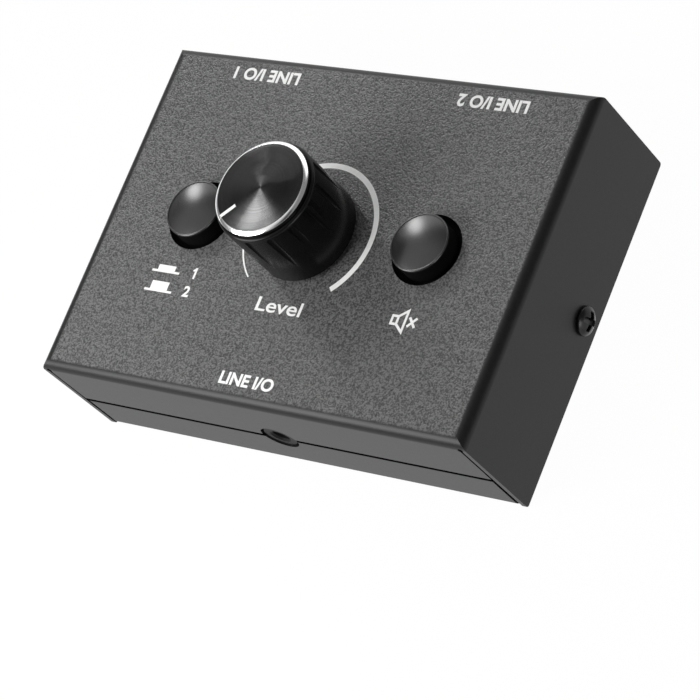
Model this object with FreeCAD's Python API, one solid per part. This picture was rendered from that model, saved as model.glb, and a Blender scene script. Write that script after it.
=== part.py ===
import FreeCAD, Part
import math
import os

# Speaker selector switch: a folded sheet-metal box with a rotary level control, two push-push
# buttons and three 3.5 mm jacks.  Millimetres.  The origin is the centre of the box's underside,
# +X runs to the right, +Y to the rear and +Z up.

V = FreeCAD.Vector
X_AXIS = V(1, 0, 0)
Y_AXIS = V(0, 1, 0)
Z_AXIS = V(0, 0, 1)
ORIGIN = V(0, 0, 0)
OVER = 1.0  # how far a cutter reaches past what it cuts
TINY = 1e-6

# ---------------------------------------------------------------- case
case_width = 100.0
case_depth = 71.5
case_height = 26.4
sheet = 1.0
cover_inner_bend = 0.9
chassis_inner_bend = 0.6
seam_gap = 0.8
lip_side_gap = 0.5
chassis_side_gap = 0.8
corner_relief_radius = 0.55
side_plate_corner_radius = 0.6
ear_width = 14.0
ear_gap = 0.05
ear_rim = 3.6
ear_relief = 0.8
thread_collar_wall = 1.0
thread_collar_depth = 1.0

# ---------------------------------------------------------------- screws
screw_diameter = 3.0
screw_head_diameter = 5.7
screw_head_height = 1.7
screw_head_edge = 0.6
screw_tip_chamfer = 0.45
cross_length = 3.2
cross_width = 0.75
cross_depth = 1.1
thread_clearance = 0.02
screw_hole_clearance = 0.2
side_screw_length = 6.0
side_screw_height = 5.0
board_screw_length = 5.0

# ---------------------------------------------------------------- circuit board
board_thickness = 1.6
board_wall_gap = 1.75
board_screw_tip_gap = 1.0
board_corner_radius = 2.0
standoff_height = 5.0
standoff_across_flats = 5.5
standoff_inset = 5.5
pin_hole_clearance = 0.1
pin_below_board = 1.3

# ---------------------------------------------------------------- places of the controls
knob_x = -0.4
knob_y = 0.0
buttons_middle_x = -0.1
button_inset = 23.3
button_y = 0.3
rear_jack_inset = 16.2

# ---------------------------------------------------------------- jacks
jack_width = 12.0
jack_length = 12.0
jack_height = 8.0
jack_nose_diameter = 6.8
jack_nose_length = 2.0
jack_nose_recess = 0.3
jack_mouth_chamfer = 0.4
jack_hole_clearance = 0.5
plug_bore_diameter = 3.6
contact_strip = 0.25
contact_height = 1.6
contact_leg_width = 0.8
contact_leg_offset = 4.4
contact_bore_gap = 0.1
contact_pocket_gap = 0.3
jack_peg_diameter = 1.2
jack_peg_length = 1.2
jack_peg_inset = 2.0
# each contact's side of the bore, and the stretch of its pocket behind the nose's face
jack_contacts = {
    "sleeve_contact": (-1, 4.8, 7.9),
    "ring_contact": (1, 6.6, 9.9),
    "tip_contact": (-1, 9.3, 12.9),
}

# ---------------------------------------------------------------- level control (potentiometer)
pot_width = 10.0
pot_depth = 11.0
pot_height = 9.0
pot_floor = 1.2
pot_lower_cavity_diameter = 7.8
pot_upper_cavity_diameter = 8.6
pot_ledge_height = 4.8
pot_wafer_thickness = 0.8
pot_wafer_gap = 0.05
pot_track_depth = 0.1
pot_track_outer = 3.4
pot_track_inner = 2.5
pot_rotor_gap = 0.4
pot_rotor_thickness = 1.8
pot_rotor_wall_gap = 0.3
pot_wiper_thickness = 0.2
pot_finger_length = 0.8
pot_finger_width = 0.4
pot_wiper_track_gap = 0.05
pot_spindle_diameter = 3.6
pot_spindle_flat = 0.5
pot_spindle_clearance = 0.03
pot_plate_thickness = 1.5
pot_bushing_diameter = 7.0
pot_bushing_length = 5.0
pot_leg_width = 3.0
pot_leg_thickness = 0.6
pot_pin_pitch = 2.5
pot_pin_width = 0.8
pot_pin_thickness = 0.3
pot_pin_reach = 1.6
pot_deck_step = 1.8
pot_stop_width_deg = 34.0
pot_stop_play_deg = 1.0
pot_stop_thickness = 0.7
pot_stop_lift = 0.1
pot_stop_root = 0.3
shaft_diameter = 6.0
shaft_running_clearance = 0.03
shaft_shoulder_gap = 0.1
shaft_knurl_length = 9.0
shaft_knurl_teeth = 18
shaft_knurl_depth = 0.3
shaft_knurl_angle_deg = 70.0
shaft_slot_width = 1.0
shaft_slot_depth = 7.0
shaft_panel_clearance = 1.0
ring_groove_depth = 0.5
ring_groove_play = 0.05
ring_thickness = 0.6
ring_width = 1.4
ring_gap_deg = 60.0

# ---------------------------------------------------------------- knob
knob_diameter = 21.0
knob_height = 17.65
knob_panel_gap = 0.6
knob_wall = 1.6
knob_edge_radius = 0.6
knob_lip_flat = 0.02
knob_foot_chamfer = 0.4
knob_turn_deg = 280.0
knob_pointer_deg = -131.6
knob_hub_diameter = 9.0
knob_hub_recess = 0.5
knob_hub_depth = 12.2
knob_shaft_end_gap = 0.3
push_fit_clearance = 0.02
knob_rib_thickness = 1.0
knob_rib_count = 4
knob_rib_start_deg = 45.0
knob_rib_recess = 1.0
knob_flute_count = 14
knob_flute_radius = 0.9
knob_flute_depth = 0.5
knob_flute_start_deg = -9.7
knob_flute_top_band = 1.85
knob_flute_foot = 5.4
disc_wall = 0.67
disc_thickness = 1.75
disc_rise = 1.35
disc_chamfer_width = 0.73
disc_chamfer_height = 0.45
disc_seat_clearance = 0.02
disc_dimple_radius = 0.35
disc_dimple_depth = 0.2
pointer_inner_radius = 5.7
pointer_width = 0.7
pointer_depth = 0.6
pointer_clearance = 0.01

# ---------------------------------------------------------------- push-push switches and buttons
switch_width = 8.5
switch_height = 9.5
switch_wall = 0.8
switch_roof = 1.2
switch_base_thickness = 1.4
switch_fit_gap = 0.05
plunger_neck = 3.2
plunger_neck_clearance = 0.05
carrier_width = 5.6
carrier_depth = 5.0
carrier_height = 3.2
carrier_roof_gap = 0.1
spring_diameter = 3.0
spring_wire = 0.35
spring_coils = 6
spring_bore_clearance = 0.2
spring_bore_roof = 0.6
spring_post_diameter = 1.6
spring_post_height = 1.5
switch_pin_thickness = 0.3
switch_pin_width = 0.9
switch_pin_pitch = 2.5
switch_pin_rise = 6.0
bridge_thickness = 0.2
bridge_height = 2.0
bridge_overhang = 0.4
latch_wire = 0.5
latch_hook_height = 5.4
latch_hook_reach = 0.4
latch_slot_width = 1.6
latch_slot_depth = 0.6
latch_socket_depth = 0.8
button_travel = 2.5
button_diameter = 12.0
button_hole_diameter = 14.6
button_rim_height = 3.1
button_crown = 0.8
button_rim_width = 0.35
button_rim_step = 0.12
button_rim_chamfer = 0.17
button_wall = 1.2
button_roof = 1.3
button_flange_diameter = 15.6
button_flange_thickness = 1.0
button_flange_gap = 0.35
button_boss_diameter = 6.2
button_boss_grip = 3.2
button_press_gap = 0.4

# ---------------------------------------------------------------- heights that follow
panel_underside = case_height - sheet
board_bottom = sheet + standoff_height
board_top = board_bottom + board_thickness
jack_axis_height = board_top + jack_height / 2
seam_height = jack_axis_height
cover_outer_bend = cover_inner_bend + sheet
chassis_outer_bend = chassis_inner_bend + sheet
side_inner_x = case_width / 2 - sheet
end_inner_y = case_depth / 2 - sheet
board_half_width = case_width / 2 - side_screw_length - board_screw_tip_gap
board_half_depth = end_inner_y - board_wall_gap
knob_foot = case_height + knob_panel_gap
knob_radius = knob_diameter / 2
disc_radius = knob_radius - disc_wall
shaft_top = knob_foot + knob_hub_depth
switch_top = board_top + switch_height
button_foot = switch_top + button_travel + button_press_gap
plunger_top = button_foot + button_boss_grip
pin_foot = board_bottom - pin_below_board
jack_hole_radius = jack_nose_diameter / 2 + jack_hole_clearance


# ---------------------------------------------------------------- shape helpers
def block(x0, x1, y0, y1, z0, z1):
    """A box between two opposite corners."""
    return Part.makeBox(x1 - x0, y1 - y0, z1 - z0, V(x0, y0, z0))


def post(radius, x, y, z0, z1):
    """An upright cylinder."""
    return Part.makeCylinder(radius, z1 - z0, V(x, y, z0))


def turned(points):
    """A solid of revolution about Z from a closed profile of (radius, height) points."""
    corners = [V(r, 0, z) for r, z in points]
    face = Part.Face(Part.makePolygon(corners + corners[:1]))
    return face.revolve(ORIGIN, Z_AXIS, 360)


def crown(radius, foot, rise):
    """The arc of a spherical crown in the XZ plane, from its rim at (radius, foot) to its top on Z."""
    sphere = (radius ** 2 + rise ** 2) / (2 * rise)
    lean = math.asin(radius / sphere) / 2
    top = foot + rise
    halfway = V(sphere * math.sin(lean), 0, top - sphere + sphere * math.cos(lean))
    return Part.Arc(V(radius, 0, foot), halfway, V(0, 0, top)).toShape()


def edges_at(shape, axis, value, along):
    """The straight edges of a shape that lie at one coordinate of an axis and run along another."""
    found = []
    for edge in shape.Edges:
        ends = [vertex.Point for vertex in edge.Vertexes]
        level = all(abs(getattr(end, axis) - value) < TINY for end in ends)
        runs = abs(getattr(ends[0], along) - getattr(ends[-1], along)) > TINY
        if level and runs:
            found.append(edge)
    return found


def ribbon(points, thickness, z0, z1):
    """A bent strip of sheet: a path in plan, widened to both sides and raised between two heights."""
    left = []
    right = []
    for i, (x, y) in enumerate(points):
        before = points[max(i - 1, 0)]
        after = points[min(i + 1, len(points) - 1)]
        into = V(x - before[0], y - before[1], 0)
        out = V(after[0] - x, after[1] - y, 0)
        if i == 0:
            into = out
        if i == len(points) - 1:
            out = into
        into.normalize()
        out.normalize()
        bisector = V(-(into.y + out.y), into.x + out.x, 0)
        bisector.normalize()
        share = bisector.dot(V(-out.y, out.x, 0))
        side = bisector * (thickness / 2 / share)
        left.append(V(x, y, z0) + side)
        right.append(V(x, y, z0) - side)
    outline = left + right[::-1]
    return Part.Face(Part.makePolygon(outline + outline[:1])).extrude(V(0, 0, z1 - z0))


def sector(r0, r1, z0, z1, middle_deg, width_deg):
    """A ring segment about Z, centred on an angle."""
    corners = [V(r0, 0, z0), V(r1, 0, z0), V(r1, 0, z1), V(r0, 0, z1)]
    face = Part.Face(Part.makePolygon(corners + corners[:1]))
    face.rotate(ORIGIN, Z_AXIS, middle_deg - width_deg / 2)
    return face.revolve(ORIGIN, Z_AXIS, width_deg)


def moved(shape, x, y, z, turn_deg=0.0):
    """A copy of a shape, turned about Z and then shifted."""
    copy = shape.copy()
    copy.rotate(ORIGIN, Z_AXIS, turn_deg)
    copy.translate(V(x, y, z))
    return copy


# ---------------------------------------------------------------- fasteners
def pan_screw(length):
    """A cross-recess pan head screw along Z: the head stands on z = 0 and the shank hangs below it."""
    head = screw_head_diameter / 2
    shank = screw_diameter / 2
    corners = [
        (0, screw_head_height), (0, -length), (shank - screw_tip_chamfer, -length),
        (shank, screw_tip_chamfer - length), (shank, 0), (head, 0), (head, screw_head_edge),
    ]
    path = Part.makePolygon([V(r, 0, z) for r, z in corners]).Edges
    path.append(crown(head, screw_head_edge, screw_head_height - screw_head_edge))
    screw = Part.Face(Part.Wire(path)).revolve(ORIGIN, Z_AXIS, 360)
    floor = screw_head_height - cross_depth
    for half_x, half_y in ((cross_length / 2, cross_width / 2), (cross_width / 2, cross_length / 2)):
        screw = screw.cut(block(-half_x, half_x, -half_y, half_y, floor, screw_head_height + OVER))
    return screw


def side_screws():
    """The two screws that hold the cover's side plates to the chassis's ears."""
    screws = []
    for side in (-1, 1):
        screw = pan_screw(side_screw_length)
        screw.rotate(ORIGIN, Y_AXIS, 90 * side)
        screw.translate(V(side * case_width / 2, 0, side_screw_height))
        screws.append(screw)
    return Part.makeCompound(screws)


def board_fixings():
    """The places of the four standoffs."""
    x = board_half_width - standoff_inset
    y = board_half_depth - standoff_inset
    return [(sx * x, sy * y) for sx in (-1, 1) for sy in (-1, 1)]


def board_screws():
    screw = pan_screw(board_screw_length)
    return Part.makeCompound([moved(screw, x, y, board_top) for x, y in board_fixings()])


def board_standoffs():
    """Hexagonal threaded spacers, standing on the chassis floor."""
    corner = standoff_across_flats / math.sqrt(3)
    turns = [math.radians(60 * i) for i in range(7)]
    outline = Part.makePolygon([V(corner * math.cos(turn), corner * math.sin(turn), 0) for turn in turns])
    spacer = Part.Face(outline).extrude(V(0, 0, standoff_height))
    spacer = spacer.cut(post(screw_diameter / 2 + thread_clearance, 0, 0, 0, standoff_height))
    return Part.makeCompound([moved(spacer, x, y, sheet) for x, y in board_fixings()])


# ---------------------------------------------------------------- where jacks, switches and control stand
def jack_places():
    """Name, x, y of the nose's face and turn about Z of each jack."""
    face_y = case_depth / 2 - jack_nose_recess
    return [
        ("common", 0.0, -face_y, 0.0),
        ("port_1", rear_jack_inset - board_half_width, face_y, 180.0),
        ("port_2", board_half_width - rear_jack_inset, face_y, 180.0),
    ]


def button_places():
    """Name and x of each button."""
    half = case_width / 2 - button_inset
    return [("select", buttons_middle_x - half), ("mute", buttons_middle_x + half)]


# ---------------------------------------------------------------- case
def jack_holes():
    """The round openings that the seam shares between cover and chassis."""
    holes = []
    for name, x, y, turn in jack_places():
        start = V(x, y - sheet - OVER, jack_axis_height)
        holes.append(Part.makeCylinder(jack_hole_radius, 2 * (sheet + OVER), start, Y_AXIS))
    return holes


def top_cover():
    """Top panel with full-height sides, and front and rear lips folded down to the seam."""
    outer = block(-case_width / 2, case_width / 2, -case_depth / 2, case_depth / 2, 0, case_height)
    rims = edges_at(outer, "z", case_height, "x") + edges_at(outer, "z", case_height, "y")
    outer = outer.makeFillet(cover_outer_bend, rims)
    outer = outer.makeFillet(side_plate_corner_radius, edges_at(outer, "z", 0, "x"))
    inner = block(-side_inner_x, side_inner_x, -end_inner_y, end_inner_y, -sheet, panel_underside)
    rims = edges_at(inner, "z", panel_underside, "x") + edges_at(inner, "z", panel_underside, "y")
    inner = inner.makeFillet(cover_inner_bend, rims)
    cuts = [inner]
    lip_foot = seam_height + seam_gap / 2
    slot_top = case_height - cover_outer_bend
    for end in (-1, 1):
        near, far = sorted((end * end_inner_y, end * (case_depth / 2 + sheet)))
        cuts.append(block(-side_inner_x, side_inner_x, near, far, -sheet, lip_foot))
        for side in (-1, 1):
            low, high = sorted((side * side_inner_x, side * (side_inner_x - lip_side_gap)))
            cuts.append(block(low, high, near, far, -sheet, slot_top))
            relief_x = side * (side_inner_x - lip_side_gap / 2)
            start = V(relief_x, near, slot_top)
            cuts.append(Part.makeCylinder(corner_relief_radius, far - near, start, Y_AXIS))
    panel_cut = (panel_underside - OVER, case_height + OVER)
    cuts.append(post(shaft_diameter / 2 + shaft_panel_clearance, knob_x, knob_y, *panel_cut))
    for name, x in button_places():
        cuts.append(post(button_hole_diameter / 2, x, button_y, *panel_cut))
    screw_hole = screw_diameter / 2 + screw_hole_clearance
    for side in (-1, 1):
        start = V(side * (side_inner_x - OVER), 0, side_screw_height)
        cuts.append(Part.makeCylinder(screw_hole, sheet + 2 * OVER, start, X_AXIS * side))
    return outer.cut(cuts + jack_holes())


def chassis_ear(side):
    """A tab folded up from the floor beside the cover's side plate, with a drawn collar for the thread."""
    face = side_inner_x - ear_gap
    root = face - chassis_outer_bend - ear_relief
    top = side_screw_height + ear_rim
    ear = block(root, face, -ear_width / 2, ear_width / 2, 0, top)
    outer_bend = [edge for edge in edges_at(ear, "z", 0, "y") if edge.CenterOfMass.x > face - TINY]
    ear = ear.makeFillet(chassis_outer_bend, outer_bend)
    inner_face = face - sheet
    hollow = block(root - OVER, inner_face, -ear_width, ear_width, sheet, top + OVER)
    at_floor = edges_at(hollow, "z", sheet, "y")
    inner_bend = [edge for edge in at_floor if edge.CenterOfMass.x > inner_face - TINY]
    ear = ear.cut(hollow.makeFillet(chassis_inner_bend, inner_bend))
    ear = ear.makeFillet(ear_rim / 2, edges_at(ear, "z", top, "x"))
    thread = screw_diameter / 2 + thread_clearance
    start = V(inner_face - thread_collar_depth, 0, side_screw_height)
    collar = Part.makeCylinder(thread + thread_collar_wall, thread_collar_depth + sheet / 2, start, X_AXIS)
    bore = Part.makeCylinder(thread, thread_collar_depth + sheet + 2 * OVER, start - X_AXIS * OVER, X_AXIS)
    ear = ear.fuse(collar).cut(bore)
    ear.rotate(ORIGIN, Z_AXIS, 0 if side > 0 else 180)
    return ear


def bottom_chassis():
    """Floor with front and rear walls up to the seam, and an ear at each side."""
    half_width = side_inner_x - chassis_side_gap
    wall_top = seam_height - seam_gap / 2
    outer = block(-half_width, half_width, -case_depth / 2, case_depth / 2, 0, wall_top)
    outer = outer.makeFillet(chassis_outer_bend, edges_at(outer, "z", 0, "x"))
    inner = block(-half_width - OVER, half_width + OVER, -end_inner_y, end_inner_y, sheet, wall_top + OVER)
    inner = inner.makeFillet(chassis_inner_bend, edges_at(inner, "z", sheet, "x"))
    chassis = outer.cut([inner] + jack_holes())
    root = side_inner_x - ear_gap - chassis_outer_bend - ear_relief
    gap = ear_width / 2 + ear_relief
    for side in (-1, 1):
        near, far = sorted((side * root, side * (half_width + OVER)))
        chassis = chassis.cut(block(near, far, -gap, gap, -OVER, sheet + OVER))
        chassis = chassis.fuse(chassis_ear(side))
    return chassis.removeSplitter()


# ---------------------------------------------------------------- jacks
def contact_path(side, start, end):
    """Plan of a jack's spring contact: a straight back, then an arm that leans to the bore and away again."""
    reach = plug_bore_diameter / 2 + contact_bore_gap + contact_strip / 2
    back = side * contact_leg_offset
    middle = (start + end) / 2
    return [
        (back, end - contact_pocket_gap - contact_leg_width / 2),
        (back, start + contact_pocket_gap + contact_strip),
        (side * (reach + contact_strip), start + contact_pocket_gap + contact_strip),
        (side * (reach + contact_strip / 4), middle),
        (side * (reach + 3 * contact_strip), middle + contact_leg_width),
    ]


def contact_leg(side, end, grow):
    """The solder leg of a jack's contact, thicker and wider by the given clearance."""
    x = side * contact_leg_offset
    y = end - contact_pocket_gap - contact_leg_width / 2
    half_x = contact_strip / 2 + grow
    half_y = contact_leg_width / 2 + grow
    return block(x - half_x, x + half_x, y - half_y, y + half_y, pin_foot - jack_axis_height, 0)


def jack_contact(side, start, end):
    strip = ribbon(contact_path(side, start, end), contact_strip, -contact_height / 2, contact_height / 2)
    return strip.fuse(contact_leg(side, end, 0)).removeSplitter()


def jack_pocket(side, start, end):
    """The pocket of a contact, open to the bore and to the underside."""
    outer_x = contact_leg_offset + contact_strip / 2 + contact_pocket_gap
    near, far = sorted((side * plug_bore_diameter / 4, side * outer_x))
    return block(near, far, start, end, -jack_height / 2 - OVER, contact_height / 2 + contact_pocket_gap)


def jack_pegs(grow):
    """Locating pegs under a jack, at the ends of its body."""
    pegs = []
    for y in (jack_nose_length + jack_peg_inset, jack_nose_length + jack_length - jack_peg_inset / 2):
        foot = -jack_height / 2 - jack_peg_length - grow
        x = jack_width / 2 - jack_peg_inset / 2
        pegs.append(post(jack_peg_diameter / 2 + grow, x, y, foot, OVER - jack_height / 2))
    return pegs


def jack_housing():
    """Moulded jack body: the nose's face is at y = 0, the mouth looks along -Y, the bore's axis is z = 0."""
    back = jack_nose_length + jack_length
    body = block(-jack_width / 2, jack_width / 2, jack_nose_length, back, -jack_height / 2, jack_height / 2)
    nose = Part.makeCylinder(jack_nose_diameter / 2, jack_nose_length + OVER, ORIGIN, Y_AXIS)
    housing = body.fuse([nose] + jack_pegs(0))
    plug = plug_bore_diameter / 2
    bore = Part.makeCylinder(plug, back + 2 * OVER, -Y_AXIS * OVER, Y_AXIS)
    depth = 2 * jack_mouth_chamfer
    bell = Part.makeCone(plug + depth, plug, depth, -Y_AXIS * jack_mouth_chamfer, Y_AXIS)
    pockets = [jack_pocket(*place) for place in jack_contacts.values()]
    return housing.cut([bore, bell] + pockets)


def jacks():
    """Every jack's pieces by node name."""
    nodes = {}
    for name, x, y, turn in jack_places():
        nodes[f"{name}_jack_housing"] = moved(jack_housing(), x, y, jack_axis_height, turn)
        for contact, place in jack_contacts.items():
            nodes[f"{name}_{contact}"] = moved(jack_contact(*place), x, y, jack_axis_height, turn)
    return nodes


# ---------------------------------------------------------------- level control
def pot_levels():
    """Heights above the board: the top of each wafer, lower deck first."""
    return [pot_floor + pot_wafer_thickness, pot_ledge_height + pot_wafer_thickness]


def pot_cavity_radii():
    return [pot_lower_cavity_diameter / 2, pot_upper_cavity_diameter / 2]


def spindle(grow, z0, z1):
    """The D-shaped lower end of the shaft, or the hole for it."""
    radius = pot_spindle_diameter / 2 + grow
    rod = post(radius, 0, 0, z0, z1)
    flat = pot_spindle_diameter / 2 - pot_spindle_flat + grow
    return rod.cut(block(flat, radius + OVER, -radius - OVER, radius + OVER, z0 - OVER, z1 + OVER))


def tab_angle():
    """Middle of the rotor's stop tab with the control turned fully down."""
    return knob_pointer_deg + 180


def stop_angle():
    """Middle of the housing's stop, which the tab meets at both ends of the turn."""
    return tab_angle() - knob_turn_deg / 2 + 180


def tab_width():
    return 360 - knob_turn_deg - pot_stop_width_deg - 2 * pot_stop_play_deg


def pot_stop_levels():
    """The stop and the rotor's tab share the room between the upper rotor and the plate."""
    foot = pot_levels()[1] + pot_rotor_gap + pot_rotor_thickness
    return foot, foot + pot_stop_thickness


def pot_pins(grow):
    """Two rows of three terminals, one row for each deck, led out of the front of the housing and down."""
    pins = []
    half = pot_pin_width / 2 + grow
    thick = pot_pin_thickness / 2 + grow
    for deck, (level, radius) in enumerate(zip(pot_levels(), pot_cavity_radii())):
        height = level - pot_wafer_thickness / 2
        row = -pot_depth / 2 - pot_pin_reach - deck * pot_deck_step
        for i in (-1, 0, 1):
            x = i * pot_pin_pitch
            nearest = max(abs(x) - pot_pin_width / 2, 0)
            inner = -math.sqrt(radius ** 2 - nearest ** 2) - pot_wafer_gap
            lead = block(x - half, x + half, row - thick, inner, height - thick, height + thick)
            leg = block(x - half, x + half, row - thick, row + thick, pin_foot - board_top, height + thick)
            pins.append(lead.fuse(leg).removeSplitter())
    return pins


def pot_legs(grow):
    """Plate legs folded down both sides of the housing and through the board."""
    legs = []
    inner = pot_width / 2 + pot_wafer_gap - grow
    outer = pot_width / 2 + pot_leg_thickness + grow
    half = pot_leg_width / 2 + grow
    top = pot_height + pot_plate_thickness / 2
    for near, far in ((-outer, -inner), (inner, outer)):
        legs.append(block(near, far, -half, half, pin_foot - board_top, top))
    return legs


def pot_housing():
    lower, upper = pot_cavity_radii()
    housing = block(-pot_width / 2, pot_width / 2, -pot_depth / 2, pot_depth / 2, 0, pot_height)
    brim = pot_height + OVER
    cavities = [post(lower, 0, 0, pot_floor, brim), post(upper, 0, 0, pot_ledge_height, brim)]
    housing = housing.cut(cavities + pot_pins(pin_hole_clearance / 2))
    foot, top = pot_stop_levels()
    track = pot_track_outer + pot_rotor_wall_gap
    root = upper + pot_stop_root
    stop = sector(track, root, foot + pot_stop_lift, top, stop_angle(), pot_stop_width_deg)
    return housing.fuse(stop).removeSplitter()


def pot_wafers():
    """Resistance wafers with a sunken track ring each."""
    wafers = []
    hole_radius = pot_spindle_diameter / 2 + pot_rotor_wall_gap
    for level, radius in zip(pot_levels(), pot_cavity_radii()):
        foot = level - pot_wafer_thickness
        wafer = post(radius - pot_wafer_gap, 0, 0, foot, level)
        hole = post(hole_radius, 0, 0, foot - OVER, level + OVER)
        track = post(pot_track_outer, 0, 0, level - pot_track_depth, level + OVER)
        track = track.cut(post(pot_track_inner, 0, 0, foot, level + OVER))
        wafers.append(wafer.cut([hole, track]))
    return Part.makeCompound(wafers)


def pot_rotors():
    """Moulded discs on the spindle, one for each deck; the upper one carries the stop tab."""
    rotors = []
    for level, radius in zip(pot_levels(), pot_cavity_radii()):
        foot = level + pot_rotor_gap
        rotors.append(post(radius - pot_rotor_wall_gap, 0, 0, foot, foot + pot_rotor_thickness))
    foot, top = pot_stop_levels()
    reach = pot_cavity_radii()[1] - pot_rotor_wall_gap
    tab = sector(pot_track_inner, reach, foot, top, tab_angle(), tab_width())
    rotors[1] = rotors[1].fuse(tab)
    hole = spindle(pot_spindle_clearance, 0, pot_height)
    return Part.makeCompound([rotor.cut(hole).removeSplitter() for rotor in rotors])


def pot_wipers():
    """Brass rings under the rotors, with two fingers each that run on the track."""
    wipers = []
    middle = (pot_track_inner + pot_track_outer) / 2
    for level in pot_levels():
        top = level + pot_rotor_gap
        ring = post(pot_track_outer, 0, 0, top - pot_wiper_thickness, top)
        ring = ring.cut(post(pot_track_inner, 0, 0, level, top + OVER))
        foot = level - pot_track_depth + pot_wiper_track_gap
        for x in (-middle, middle):
            finger = block(
                x - pot_finger_width / 2, x + pot_finger_width / 2,
                -pot_finger_length / 2, pot_finger_length / 2,
                foot, top - pot_wiper_thickness / 2,
            )
            ring = ring.fuse(finger)
        wipers.append(ring.removeSplitter())
    return Part.makeCompound(wipers)


def pot_front_plate():
    """Die-cast plate with the shaft's bushing and the two mounting legs."""
    top = pot_height + pot_plate_thickness
    plate_half = pot_width / 2 + pot_leg_thickness
    plate = block(-plate_half, plate_half, -pot_depth / 2, pot_depth / 2, pot_height, top)
    end = top + pot_bushing_length
    bushing = post(pot_bushing_diameter / 2, 0, 0, pot_height, end)
    bore = post(shaft_diameter / 2 + shaft_running_clearance, 0, 0, pot_height - OVER, end + OVER)
    return plate.fuse([bushing] + pot_legs(0)).cut(bore).removeSplitter()


def ring_level():
    """Foot of the retaining ring's groove, just above the bushing."""
    return pot_height + pot_plate_thickness + pot_bushing_length + ring_groove_play


def pot_shaft():
    """Shaft with a D-shaped spindle below, a ring groove above the bushing, and a split knurled end."""
    radius = shaft_diameter / 2
    top = shaft_top - board_top
    shoulder = pot_stop_levels()[1] + shaft_shoulder_gap
    shaft = post(radius, 0, 0, shoulder, top)
    shaft = shaft.fuse(spindle(0, pot_levels()[0] + pot_rotor_gap, shoulder + OVER))
    groove = post(radius + OVER, 0, 0, ring_level(), ring_level() + ring_thickness + 2 * ring_groove_play)
    groove = groove.cut(post(radius - ring_groove_depth, 0, 0, 0, top))
    cuts = [groove]
    spread = (shaft_knurl_depth + OVER) * math.tan(math.radians(shaft_knurl_angle_deg / 2))
    notch = [V(radius - shaft_knurl_depth, 0, 0), V(radius + OVER, -spread, 0), V(radius + OVER, spread, 0)]
    tooth = Part.Face(Part.makePolygon(notch + notch[:1])).extrude(V(0, 0, shaft_knurl_length + OVER))
    for i in range(shaft_knurl_teeth):
        cuts.append(moved(tooth, 0, 0, top - shaft_knurl_length, 360 / shaft_knurl_teeth * i))
    half = shaft_slot_width / 2
    cuts.append(block(-radius - OVER, radius + OVER, -half, half, top - shaft_slot_depth, top + OVER))
    return shaft.cut(cuts)


def pot_retaining_ring():
    """Open spring ring in the shaft's groove."""
    inner = shaft_diameter / 2 - ring_groove_depth + ring_groove_play
    foot = ring_level() + ring_groove_play
    return sector(inner, inner + ring_width, foot, foot + ring_thickness, 90, 360 - ring_gap_deg)


def level_control():
    """The level control's pieces by node name."""
    nodes = {
        "level_pot_housing": pot_housing(),
        "level_pot_wafers": pot_wafers(),
        "level_pot_terminals": Part.makeCompound(pot_pins(0)),
        "level_pot_front_plate": pot_front_plate(),
        "level_pot_rotors": pot_rotors(),
        "level_pot_wipers": pot_wipers(),
        "level_pot_shaft": pot_shaft(),
        "level_pot_retaining_ring": pot_retaining_ring(),
    }
    return {name: moved(shape, knob_x, knob_y, board_top) for name, shape in nodes.items()}


# ---------------------------------------------------------------- knob
def knob_flutes():
    """Scoops down the skirt: each starts with a round end under the top band and fades out above the foot."""
    flutes = []
    top = knob_height - knob_flute_top_band - knob_flute_radius
    near = V(knob_radius + knob_flute_radius - knob_flute_depth, 0, top)
    far = V(knob_radius + knob_flute_radius, 0, knob_flute_foot)
    lean = far - near
    scoop = Part.makeCylinder(knob_flute_radius, lean.Length, near, lean)
    scoop = scoop.fuse(Part.makeSphere(knob_flute_radius, near))
    for i in range(knob_flute_count):
        flutes.append(scoop.rotated(ORIGIN, Z_AXIS, knob_flute_start_deg + 360 / knob_flute_count * i))
    return flutes


def knob_shell():
    """Hollow moulded skirt with a hub for the shaft, ribs, and a seat for the disc in its top."""
    seat = knob_height - disc_thickness
    seat_radius = disc_radius + disc_seat_clearance
    rim = knob_height - disc_rise
    inside = knob_radius - knob_wall
    roof = knob_hub_depth + knob_shaft_end_gap
    bore = shaft_diameter / 2 + push_fit_clearance
    hub = knob_hub_diameter / 2
    shell = turned([
        (0, roof), (bore, roof), (bore, knob_hub_recess), (hub, knob_hub_recess), (hub, roof),
        (inside, roof), (inside, 0), (knob_radius - knob_foot_chamfer, 0), (knob_radius, knob_foot_chamfer),
        (knob_radius, rim),
        (seat_radius, rim), (seat_radius, seat), (0, seat),
    ])
    at_rim = [edge for edge in shell.Edges if abs(edge.CenterOfMass.z - rim) < TINY]
    shoulder = [edge for edge in at_rim if abs(edge.BoundBox.XMax - knob_radius) < TINY]
    shell = shell.makeFillet(min(knob_edge_radius, knob_radius - seat_radius - knob_lip_flat), shoulder)
    half = knob_rib_thickness / 2
    rib = block(hub - half, inside + half, -half, half, knob_rib_recess, roof + half)
    for i in range(knob_rib_count):
        shell = shell.fuse(rib.rotated(ORIGIN, Z_AXIS, knob_rib_start_deg + 360 / knob_rib_count * i))
    return shell.cut(knob_flutes()).removeSplitter()


def disc_blank():
    """Turned disc with its chamfer and a centre dimple, before the pointer's groove is cut."""
    seat = knob_height - disc_thickness
    return turned([
        (0, seat), (disc_radius, seat), (disc_radius, knob_height - disc_chamfer_height),
        (disc_radius - disc_chamfer_width, knob_height), (disc_dimple_radius, knob_height),
        (0, knob_height - disc_dimple_depth),
    ])


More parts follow.
